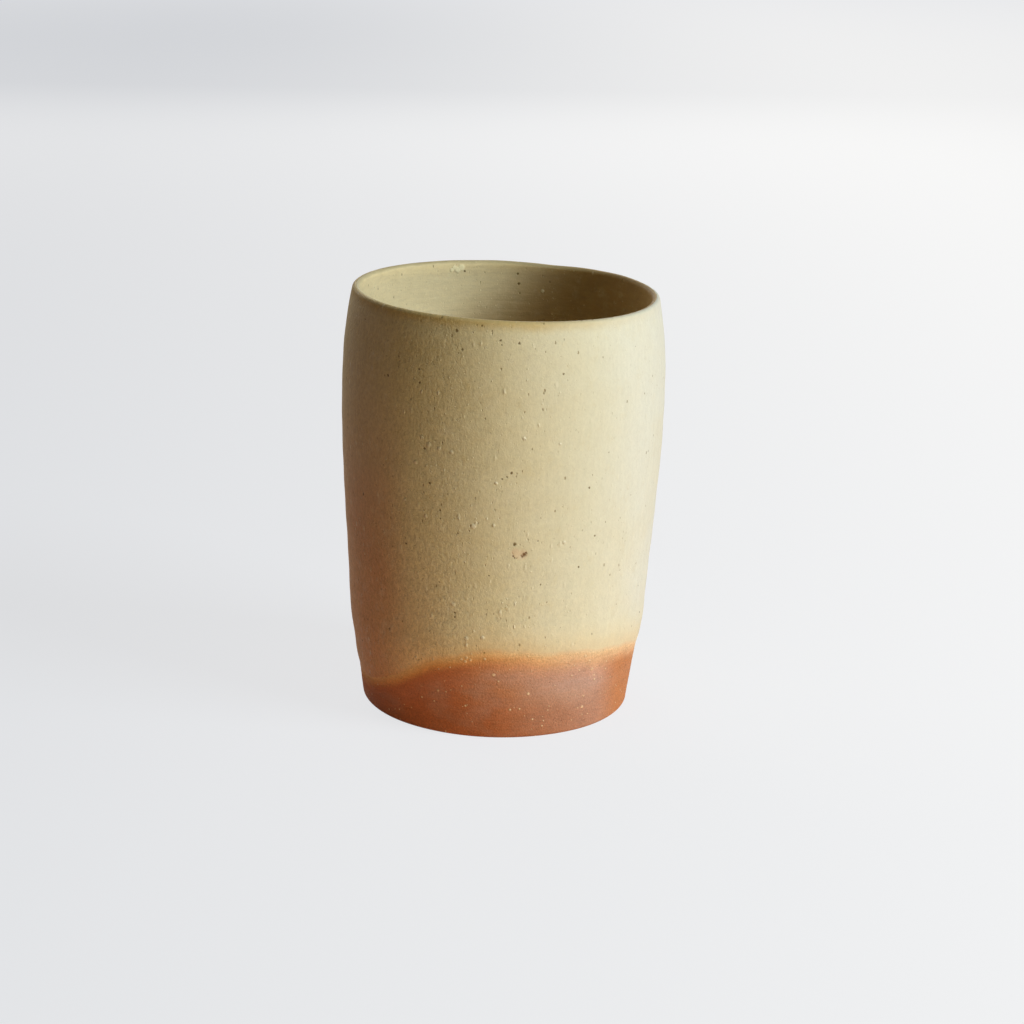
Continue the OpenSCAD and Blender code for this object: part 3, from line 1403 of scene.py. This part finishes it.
@dataclass(frozen=True)
class Potter:
    """What every surface of the cup shares: its outline, its throwing and its dip line."""

    outline: Outline
    throwing: Throwing
    dip: DipLine
    steady_radius: float = 24.0

    def turns(self, columns: int) -> np.ndarray:
        """Equal steps round the cup, as one row."""
        return np.arange(columns)[None, :] * 360.0 / columns

    def throw(
        self, turn: np.ndarray, radius: np.ndarray, height: np.ndarray
    ) -> tuple[np.ndarray, np.ndarray, np.ndarray]:
        """Gives a true section its throwing marks all the way round.

        The drift fades out over the underside and the floor, within the steady radius.

        Args:
            turn: one row of angles.
            radius: radii, a column or a grid.
            height: heights, a column or a grid.

        Returns:
            Angle, radius and height as full grids.
        """
        shape = (radius.shape[0], turn.shape[1])
        turns = np.broadcast_to(turn, shape)
        radii = np.broadcast_to(radius, shape)
        heights = np.broadcast_to(height, shape)
        top = self.outline.height
        drift = self.throwing.drift(turns, heights, top) * ease(radii / self.steady_radius)
        lift = self.throwing.lift(turns, heights, top)
        return turns, radii + drift, heights + lift

    def above_line(self, turn: np.ndarray, height: np.ndarray) -> np.ndarray:
        """Height over the glaze's edge."""
        return height - self.dip.height(turn)

    def from_crest(self, turn: np.ndarray, height: np.ndarray) -> np.ndarray:
        """Distance below the crest of the lip, which rises and falls with the rim."""
        top = self.outline.height
        return top + self.throwing.lift(turn, np.full_like(height, top), top) - height


@dataclass(frozen=True)
class ClayBody:
    """Wall, floor and foot, thrown as one lump. Stands for the CAD's clay."""

    potter: Potter
    finish: BareClay
    columns: int = 384
    turning_size: float = 0.005
    turning_lines: int = 14
    turning_rise: Span = (0.7, 2.5)
    turning_top: float = 26.0
    turning_fade: float = 6.0
    edge_clear: float = 0.6
    edge_fade: float = 1.5
    groove_rise: float = 2.3
    groove_size: float = 0.035
    seed: int = 5
    hollow_start: float = 0.6
    hollow_rows: int = 38
    ring_start: float = 75.0
    ring_rows: int = 6
    flat_rows: int = 10
    rounding_rows: int = 9
    bare_top: float = 25.0
    bare_step: float = 0.25
    covered_rows: int = 30
    lip_rows: int = 11
    inner_rows: int = 42
    corner_rows: int = 10
    floor_rows: int = 6

    def foot_lines(self, turn: np.ndarray, height: np.ndarray) -> np.ndarray:
        """Fine rings that the turning tool left: a sum of waves of random rise and phase.

        Args:
            turn: angles round the foot.
            height: heights on the foot.

        Returns:
            The height of the rings, eased to nothing at the top and at the foot's edge.
        """
        rng = np.random.default_rng(self.seed)
        rise = 1 / rng.uniform(*self.turning_rise, self.turning_lines)
        count = rng.integers(-1, 2, self.turning_lines)
        phase = rng.uniform(0, 2 * np.pi, self.turning_lines)
        angle = 2 * np.pi * height[..., None] * rise + np.radians(turn)[..., None] * count + phase
        depth = self.turning_size * np.cos(angle).sum(-1)
        depth = depth * ease((self.turning_top - height) / self.turning_fade)
        return depth * ease((height - self.edge_clear) / self.edge_fade)

    def underside(self) -> tuple[np.ndarray, np.ndarray]:
        """From the middle of the hollow over the standing ring to the foot's rounded edge.

        The hollow's depth swells by a cosine of the distance from its middle. Its edge and the
        foot's are quarter rounds, with the flat ring between them.

        Returns:
            Radius and height of the rows.
        """
        o = self.potter.outline
        foot = o.foot_across / 2
        flare = math.atan(o.foot_slope)
        hollow_end = foot - o.ring_width - o.recess_depth
        hollow = np.linspace(self.hollow_start, hollow_end, self.hollow_rows)[:, None]
        depth = o.recess_depth + self.groove_size * np.cos(2 * np.pi * hollow / self.groove_rise)
        bend = np.radians(np.linspace(self.ring_start, 0, self.ring_rows))[:, None]
        edge = (hollow_end + o.recess_depth * np.cos(bend), o.recess_depth * np.sin(bend))
        round_at = foot + o.foot_slope * o.foot_rounding - o.foot_rounding / math.cos(flare)
        flat = np.linspace(foot - o.ring_width, round_at, self.flat_rows)[1:-1, None]
        turn = np.linspace(-math.pi / 2, -flare, self.rounding_rows)[:, None]
        rounding = (
            round_at + o.foot_rounding * np.cos(turn),
            o.foot_rounding + o.foot_rounding * np.sin(turn),
        )
        return stack((hollow, depth), edge, (flat, flat * 0.0), rounding)

    def build(self) -> bpy.types.Object:
        """Makes the clay: underside, outside wall, lip, inside wall and floor, as one skin.

        Returns:
            The clay piece.
        """
        o = self.potter.outline
        turn = self.potter.turns(self.columns)
        below = self.underside()
        start = float(below[1][-1, 0])
        lip_end = o.lip_station(Wall.OUTSIDE).height
        inner_end = o.lip_station(Wall.INSIDE).height
        bare = np.arange(start + self.bare_step, self.bare_top, self.bare_step)[:, None]
        covered = np.linspace(self.bare_top, lip_end, self.covered_rows)[:, None]
        lip = np.linspace(o.lip_lean, 180 + o.lip_lean_inside, self.lip_rows)[1:-1, None]
        inner = np.linspace(inner_end, o.corner_height, self.inner_rows)[:, None]
        bend = np.linspace(-o.inside_flare, -90, self.corner_rows)[1:, None]
        corner = o.corner_arc(bend, 0.0)
        floor = np.linspace(float(corner[0][-1, 0]), 0.0, self.floor_rows)[1:-1, None]
        radius, height = stack(
            below,
            o.wall(Wall.OUTSIDE, bare, 0.0),
            o.wall(Wall.OUTSIDE, covered, 0.0),
            o.lip(lip, 0.0),
            o.wall(Wall.INSIDE, inner, 0.0),
            corner,
            (floor, np.full_like(floor, o.floor_height)),
        )
        turns, radii, heights = self.potter.throw(turn, radius, height)
        outside = np.zeros(len(radius), bool)
        outside[len(below[0]) : len(below[0]) + len(bare)] = True
        rings = self.foot_lines(turns, heights)
        radii = radii + np.where(outside[:, None], rings, 0.0)
        above = self.potter.above_line(turns, heights)
        skin = Skin(
            turns,
            radii,
            heights,
            {ABOVE_LINE: above},
            first_pole=o.recess_depth + self.groove_size,
            last_pole=o.floor_height,
        )
        return skin.build("thrown_clay", self.finish.material())


@dataclass(frozen=True)
class OuterCoat:
    """The glaze outside, from its wiped edge up to the crest of the lip."""

    potter: Potter
    finish: MattGlaze
    columns: int = 560
    rows: int = 150
    lip_rows: int = 9
    back_rows: int = 9
    back_lip: Triple = (90.0, 60.0, 30.0)
    feather: float = 4.5
    bluntness: float = 0.7
    tuck: float = 0.06
    chip_turn: float = 8.3
    chip_height: float = 46.3
    chip_depth: float = 0.16
    chip_size: Span = (1.1, 0.9)

    def thickness(self, above: np.ndarray) -> np.ndarray:
        """Full thickness on the wall, eased to nothing at the edge and tucked in below it."""
        full = self.potter.outline.glaze
        return (full + self.tuck) * ease(above / self.feather) ** self.bluntness - self.tuck

    def chip(self, turn: np.ndarray, height: np.ndarray) -> np.ndarray:
        """Depth of the chip in the glaze: a bell curve across and up.

        Args:
            turn: angles from -180 to 180.
            height: heights on the clay.

        Returns:
            The depth at each point.
        """
        wide, high = self.chip_size
        across = np.radians(turn - self.chip_turn) * self.potter.outline.belly_across / 2 / wide
        tall = (height - self.chip_height) / high
        return self.chip_depth * np.exp(-(across**2) - tall**2)

    def build(self) -> bpy.types.Object:
        """Makes the coat: outer side up, over the lip, and back down against the clay.

        Returns:
            The outer coat.
        """
        o = self.potter.outline
        turn = self.potter.turns(self.columns)
        edge = self.potter.dip.height(turn)
        top = o.lip_station(Wall.OUTSIDE).height
        share = np.linspace(0, 1, self.rows)[:, None]
        base = edge + (top - edge) * share
        near = (turn + 180) % 360 - 180
        out = self.thickness(base - edge) - self.chip(near, base)
        shown = o.wall(Wall.OUTSIDE, base, out)
        whole = np.ones_like(turn)
        bend = np.linspace(o.lip_lean, 90, self.lip_rows)[1:, None]
        lip = [part * whole for part in o.lip(bend, o.glaze)]
        lip_back = [part * whole for part in o.lip(np.array(self.back_lip)[:, None], -self.tuck)]
        back_base = edge + (top - edge) * np.linspace(1, 0, self.back_rows)[:, None]
        back = o.wall(Wall.OUTSIDE, back_base, -2 * self.tuck)
        radius, height = stack(shown, lip, lip_back, back)
        turns, radii, heights = self.potter.throw(turn, radius, height)
        above = self.potter.above_line(turns, np.maximum(heights, edge))
        from_crest = self.potter.from_crest(turns, heights)
        skin = Skin(turns, radii, heights, {ABOVE_LINE: above, FROM_CREST: from_crest})
        return skin.build("outer_coat", self.finish.material())


@dataclass(frozen=True)
class InnerCoat:
    """The glaze inside, from the crest of the lip down the wall and over the floor."""

    potter: Potter
    finish: MattGlaze
    columns: int = 420
    hidden_corner_rows: int = 7
    hidden_wall_rows: int = 40
    back_lip: Triple = (150.0, 120.0, 90.0)
    lip_rows: int = 9
    wall_rows: int = 128
    corner_rows: int = 34
    floor_rows: int = 16
    tuck: float = 0.06
    swirl_size: float = 0.05
    swirl_pitch: float = 5.2
    swirl_start: float = 4.0

    def swirl(self, radius: np.ndarray) -> np.ndarray:
        """Height of the rings on the floor: a cosine of the radius, eased in from the middle."""
        rings = self.swirl_size * np.cos(2 * np.pi * radius / self.swirl_pitch)
        return rings * ease(radius / self.swirl_start)

    def build(self) -> bpy.types.Object:
        """Makes the coat: up against the clay from the floor, over the lip, and down again.

        Returns:
            The inner coat.
        """
        o = self.potter.outline
        turn = self.potter.turns(self.columns)
        low, top = o.corner_height, o.lip_station(Wall.INSIDE).height
        hidden_bend = np.linspace(-90, -o.inside_flare, self.hidden_corner_rows)[:-1, None]
        hidden_rise = np.linspace(low, top, self.hidden_wall_rows)[:, None]
        lip_bend = np.linspace(90, 180 + o.lip_lean_inside, self.lip_rows)[:, None]
        fall = np.linspace(top, low, self.wall_rows)[1:, None]
        bend = np.linspace(-o.inside_flare, -90, self.corner_rows)[1:, None]
        corner = o.corner_arc(bend, o.glaze)
        floor = np.linspace(float(corner[0][-1, 0]), 0.0, self.floor_rows)[1:-1, None]
        radius, height = stack(
            o.corner_arc(hidden_bend, -self.tuck),
            o.wall(Wall.INSIDE, hidden_rise, -self.tuck),
            o.lip(np.array(self.back_lip)[:, None], -self.tuck),
            o.lip(lip_bend, o.glaze),
            o.wall(Wall.INSIDE, fall, o.glaze),
            corner,
            (floor, o.floor_height + o.glaze + self.swirl(floor)),
        )
        turns, radii, heights = self.potter.throw(turn, radius, height)
        skin = Skin(
            turns,
            radii,
            heights,
            {FROM_CREST: self.potter.from_crest(turns, heights)},
            first_pole=o.floor_height - self.tuck,
            last_pole=o.floor_height + o.glaze,
        )
        return skin.build("inner_coat", self.finish.material())


@dataclass(frozen=True)
class Lamp:
    """An area lamp that looks at the middle of the cup."""

    name: str
    turn: float
    rise: float
    away: float
    size: Span
    level: float
    colour: Colour
    aim: float = 0.05

    def build(self) -> bpy.types.Object:
        """Makes the lamp.

        Its power is the level times pi squared times the distance squared, at which a white
        surface that faces it comes out at the level.

        Returns:
            The lamp.
        """
        light = bpy.data.lights.new(self.name, "AREA")
        light.shape = "RECTANGLE"
        light.size, light.size_y = self.size
        light.color = self.colour
        light.energy = self.level * math.pi**2 * self.away**2
        lamp = bpy.data.objects.new(self.name, light)
        bpy.context.scene.collection.objects.link(lamp)
        a, e = math.radians(self.turn), math.radians(self.rise)
        back = Vector((math.sin(a) * math.cos(e), -math.cos(a) * math.cos(e), math.sin(e)))
        lamp.location = back * self.away + Vector((0, 0, self.aim))
        lamp.rotation_mode = "QUATERNION"
        lamp.rotation_quaternion = (-back).to_track_quat("-Z", "Y")
        return lamp


@dataclass(frozen=True)
class Studio:
    """A plain pale floor and plain soft lamps."""

    RAYS: ClassVar[tuple[str, ...]] = ("Is Camera Ray", "Is Glossy Ray", "Is Transmission Ray")
    floor_size: float = 3.0
    floor_left: Colour = srgb(224, 226, 230)
    floor_right: Colour = srgb(255, 255, 255)
    bounce_near: Colour = (0.98, 0.54, 0.34)
    bounce_far: Colour = (0.28, 0.10, 0.06)
    bounce_reach: Span = (60.0, 240.0)
    floor_shadows: Colour = srgb(250, 250, 250)
    floor_glow: float = 0.86
    air: Colour = srgb(230, 231, 234)
    far: Span = (1500.0, 2900.0)
    floor_span: Span = (-330.0, 330.0)
    air_level: float = 0.002
    lamps: tuple[Lamp, ...] = (
        Lamp("key_lamp", 66, 27, 1.3, (0.62, 0.62), 0.80, (0.91, 1.0, 1.09)),
        Lamp("low_strip", 35, 2, 1.1, (0.70, 0.12), 0.315, (1.0, 0.87, 0.47)),
        Lamp("left_fill", -138, 33, 1.2, (0.90, 0.70), 0.21, (1.0, 0.86, 0.66)),
        Lamp("back_fill", -172, 16, 1.2, (0.90, 0.20), 0.20, (1.0, 0.97, 0.90)),
    )

    def seen(self, graph: Graph, rays: tuple[str, ...]) -> Signal:
        """1 for rays of the named kinds, else 0.

        Args:
            graph: the nodes of the floor or the world.
            rays: the names of the outputs that tell the kinds.

        Returns:
            The largest of those outputs.
        """
        path = graph.node("ShaderNodeLightPath")
        found = Signal(graph, path.outputs[rays[0]])
        for ray in rays[1:]:
            found = found.most(Signal(graph, path.outputs[ray]))
        return found

    def pale_air(self) -> None:
        """A world that is pale where it is seen and dim where it lights."""
        world = bpy.data.worlds.new("studio_air")
        bpy.context.scene.world = world
        graph = Graph(world)
        shown = self.seen(graph, self.RAYS)
        strength = shown * (1.0 - self.air_level) + self.air_level
        inputs = {"Color": self.air, "Strength": strength}
        air = graph.signal("ShaderNodeBackground", inputs=inputs)
        graph.node("ShaderNodeOutputWorld", inputs={"Surface": air})

    def floor(self) -> bpy.types.Object:
        """A wide flat floor: pale to the camera, duller and warm where it lights the cup.

        Far off, its tone runs into that of the air, so that no horizon shows.

        Returns:
            The floor.
        """
        half = self.floor_size
        corners = [(-half, -half, 0), (half, -half, 0), (half, half, 0), (-half, half, 0)]
        mesh = bpy.data.meshes.new("studio_floor")
        mesh.from_pydata(corners, [], [(0, 1, 2, 3)])
        floor = bpy.data.objects.new("studio_floor", mesh)
        bpy.context.scene.collection.objects.link(floor)
        graph = Graph.material("pale_floor")
        place = graph.place()
        away = graph.vector("LENGTH", place, output=1)
        # Painted falloff of light: the floor's tone runs from pale grey at the left to white at the
        # right.
        across = graph.part(place, "X").fade(*self.floor_span)
        shown = self.seen(graph, self.RAYS)
        far = away.fade(*self.far)
        tone = graph.mix(far, graph.mix(across, self.floor_left, self.floor_right), self.air)
        glow = (far * (1.0 - self.floor_glow) + self.floor_glow) * shown
        pale = graph.signal("ShaderNodeEmission", inputs={"Color": tone, "Strength": 1.0})
        bounce = graph.mix(away.fade(*self.bounce_reach), self.bounce_near, self.bounce_far)
        matt = graph.mix(shown, bounce, self.floor_shadows)
        lit = graph.signal("ShaderNodeBsdfDiffuse", inputs={"Color": matt})
        mix = graph.signal("ShaderNodeMixShader", inputs={0: glow, 1: lit, 2: pale})
        graph.node("ShaderNodeOutputMaterial", inputs={"Surface": mix})
        mesh.materials.append(graph.owner)
        return floor

    def build(self) -> None:
        """Lights the cup and stages the floor."""
        for lamp in self.lamps:
            lamp.build()
        self.pale_air()
        self.floor()
        log.info("studio: floor and %d lamps", len(self.lamps))


@dataclass(frozen=True)
class PhotoCamera:
    """The camera at the photograph's viewing angle."""

    away: float = 0.600
    rise: float = 15.76
    aim_height: float = 0.0505
    swing: float = 0.294
    dip: float = 0.426
    roll: float = 1.786
    lens: float = 87.69
    film: float = 36.0
    clip: Span = (0.01, 20.0)

    def build(self) -> bpy.types.Object:
        """Places the camera: behind the view by the distance, then swung, dipped and rolled.

        Returns:
            The camera, made the scene's own.
        """
        e = math.radians(self.rise)
        swing = math.radians(self.swing)
        down = e + math.radians(self.dip)
        roll = math.radians(self.roll)
        forward = Vector(
            (math.sin(swing) * math.cos(down), math.cos(swing) * math.cos(down), -math.sin(down))
        )
        level = forward.cross(Vector((0, 0, 1))).normalized()
        upright = level.cross(forward)
        right = math.cos(roll) * level + math.sin(roll) * upright
        up = -math.sin(roll) * level + math.cos(roll) * upright
        data = bpy.data.cameras.new("photo_camera")
        data.lens = self.lens
        data.sensor_width = self.film
        data.clip_start, data.clip_end = self.clip
        camera = bpy.data.objects.new("photo_camera", data)
        bpy.context.scene.collection.objects.link(camera)
        place = Matrix((right, up, -forward)).transposed().to_4x4()
        place.translation = Vector(
            (0, -self.away * math.cos(e), self.aim_height + self.away * math.sin(e))
        )
        camera.matrix_world = place
        bpy.context.scene.camera = camera
        return camera


DARK_OUTSIDE = placed(
    (-17, 97.5, 0.45), (-31, 98, 0.25), (-22.5, 98.5, 0.3), (-8, 99, 0.3), (-11, 97.5, 0.25),
    (-4.5, 98, 0.25), (-1.5, 96, 0.3), (-1, 95, 0.2), (-27, 89.5, 0.25), (-24.5, 89.5, 0.25),
    (-29.5, 85, 0.3), (-28.5, 79.5, 0.25), (5, 95.5, 0.35), (-14.5, 93.5, 0.35), (52.5, 92.5, 0.3),
    (20.5, 88.5, 0.3), (-30, 88, 0.3), (-57.5, 55, 0.4), (-45, 64, 0.25), (-27, 70, 0.35),
    (3.5, 66, 0.35), (0.5, 64.5, 0.2), (2, 65, 0.2), (-35, 46.5, 0.3), (5.5, 49, 0.45),
    (-14.5, 51, 0.25), (-21, 56, 0.3), (-21, 54, 0.25), (32, 61.5, 0.3), (36, 49.5, 0.3),
    (30, 42.5, 0.25), (-21.5, 38.5, 0.25), (15.5, 39, 0.25), (-44.5, 24, 0.35), (38.5, 25, 0.25),
    (-15.5, 31.5, 0.3), (-15.5, 30.5, 0.3),
)
PALE_OUTSIDE = placed(
    (-25.5, 71, 0.6), (-9, 53, 0.6), (-2, 53.5, 0.35), (-1.5, 63.5, 0.35), (7.5, 74, 0.4),
    (20, 72.5, 0.3), (23.5, 49, 0.4), (-17, 70, 0.45), (-16, 33.5, 0.5), (-11, 25.5, 0.5),
    (-5, 26, 0.45), (-28, 72.5, 0.45), (-21.5, 70.5, 0.45), (-30.5, 66.5, 0.5), (-35, 57, 0.45),
    (-26.5, 54, 0.45), (-13, 20, 0.4), (-11, 20.5, 0.45), (-9.5, 20, 0.4), (-11.5, 19.5, 0.45),
    (-4, 20.5, 0.4), (37, 19.5, 0.35),
)
CHIP = placed(
    (9, 46.5, 0.52), (8.3, 46.1, 0.46), (9.6, 46.9, 0.36), (5.2, 46.2, 0.26), (5.7, 45.8, 0.24),
    (6.4, 45.7, 0.2), (7.4, 46, 0.2),
)
CHIP_HALO = placed(
    (6, 46.9, 1.2), (8.3, 46.5, 1.3), (7.2, 46.2, 1),
)
DARK_INSIDE = placed(
    (175.5, 97.5, 0.35), (175, 95, 0.4), (162, 96, 0.3), (197.5, 98, 0.3), (246.5, 97, 0.3),
)
PALE_INSIDE = placed(
    (199, 99, 0.85), (200.5, 98.5, 0.8), (202, 99, 0.6), (203, 98.5, 0.5), (165, 93.5, 0.5),
)
PALE_CLAY = placed(
    (39, 6, 0.4), (13.5, 11.5, 0.35), (6.5, 7.5, 0.3), (-0.5, 16.5, 0.4), (44, 12.5, 0.35),
    (-23, 11, 0.3), (-11.5, 8, 0.3), (-13, 20, 0.35), (-11, 20.5, 0.4), (-9.5, 20, 0.35),
    (-11.5, 19.5, 0.4), (-4, 20.5, 0.35), (37, 19.5, 0.35), (39.5, 18, 0.3), (41.5, 15.5, 0.4),
    (35, 16, 0.25),
)


def main() -> None:
    """Builds the cup's three surfaces, the studio and the camera, and ties them to the CAD."""
    outline = Outline()
    potter = Potter(outline, Throwing(), DipLine())
    bare = BareClay("toasted_clay", outline, PALE_CLAY)
    outside = OutsideGlaze(
        "cream_glaze", outline, DARK_OUTSIDE, PALE_OUTSIDE, chip=CHIP, chip_halo=CHIP_HALO
    )
    inside = InsideGlaze("cream_liner", outline, DARK_INSIDE, PALE_INSIDE)
    clay = ClayBody(potter, bare).build()
    outer = OuterCoat(potter, outside).build()
    inner = InnerCoat(potter, inside).build()
    for piece, node, slot in (
        (clay, "clay_body", "bare_clay"),
        (outer, "outer_glaze", "outer_glaze"),
        (inner, "liner_glaze", "liner_glaze"),
    ):
        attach(piece, BODY)
        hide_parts(node)
        log.info("%s stands for %s", piece.name, node)
    Studio().build()
    PhotoCamera().build()
    bpy.context.scene.view_settings.view_transform = "Standard"


if __name__ == "__main__":
    logging.basicConfig(level=logging.INFO)
    main()
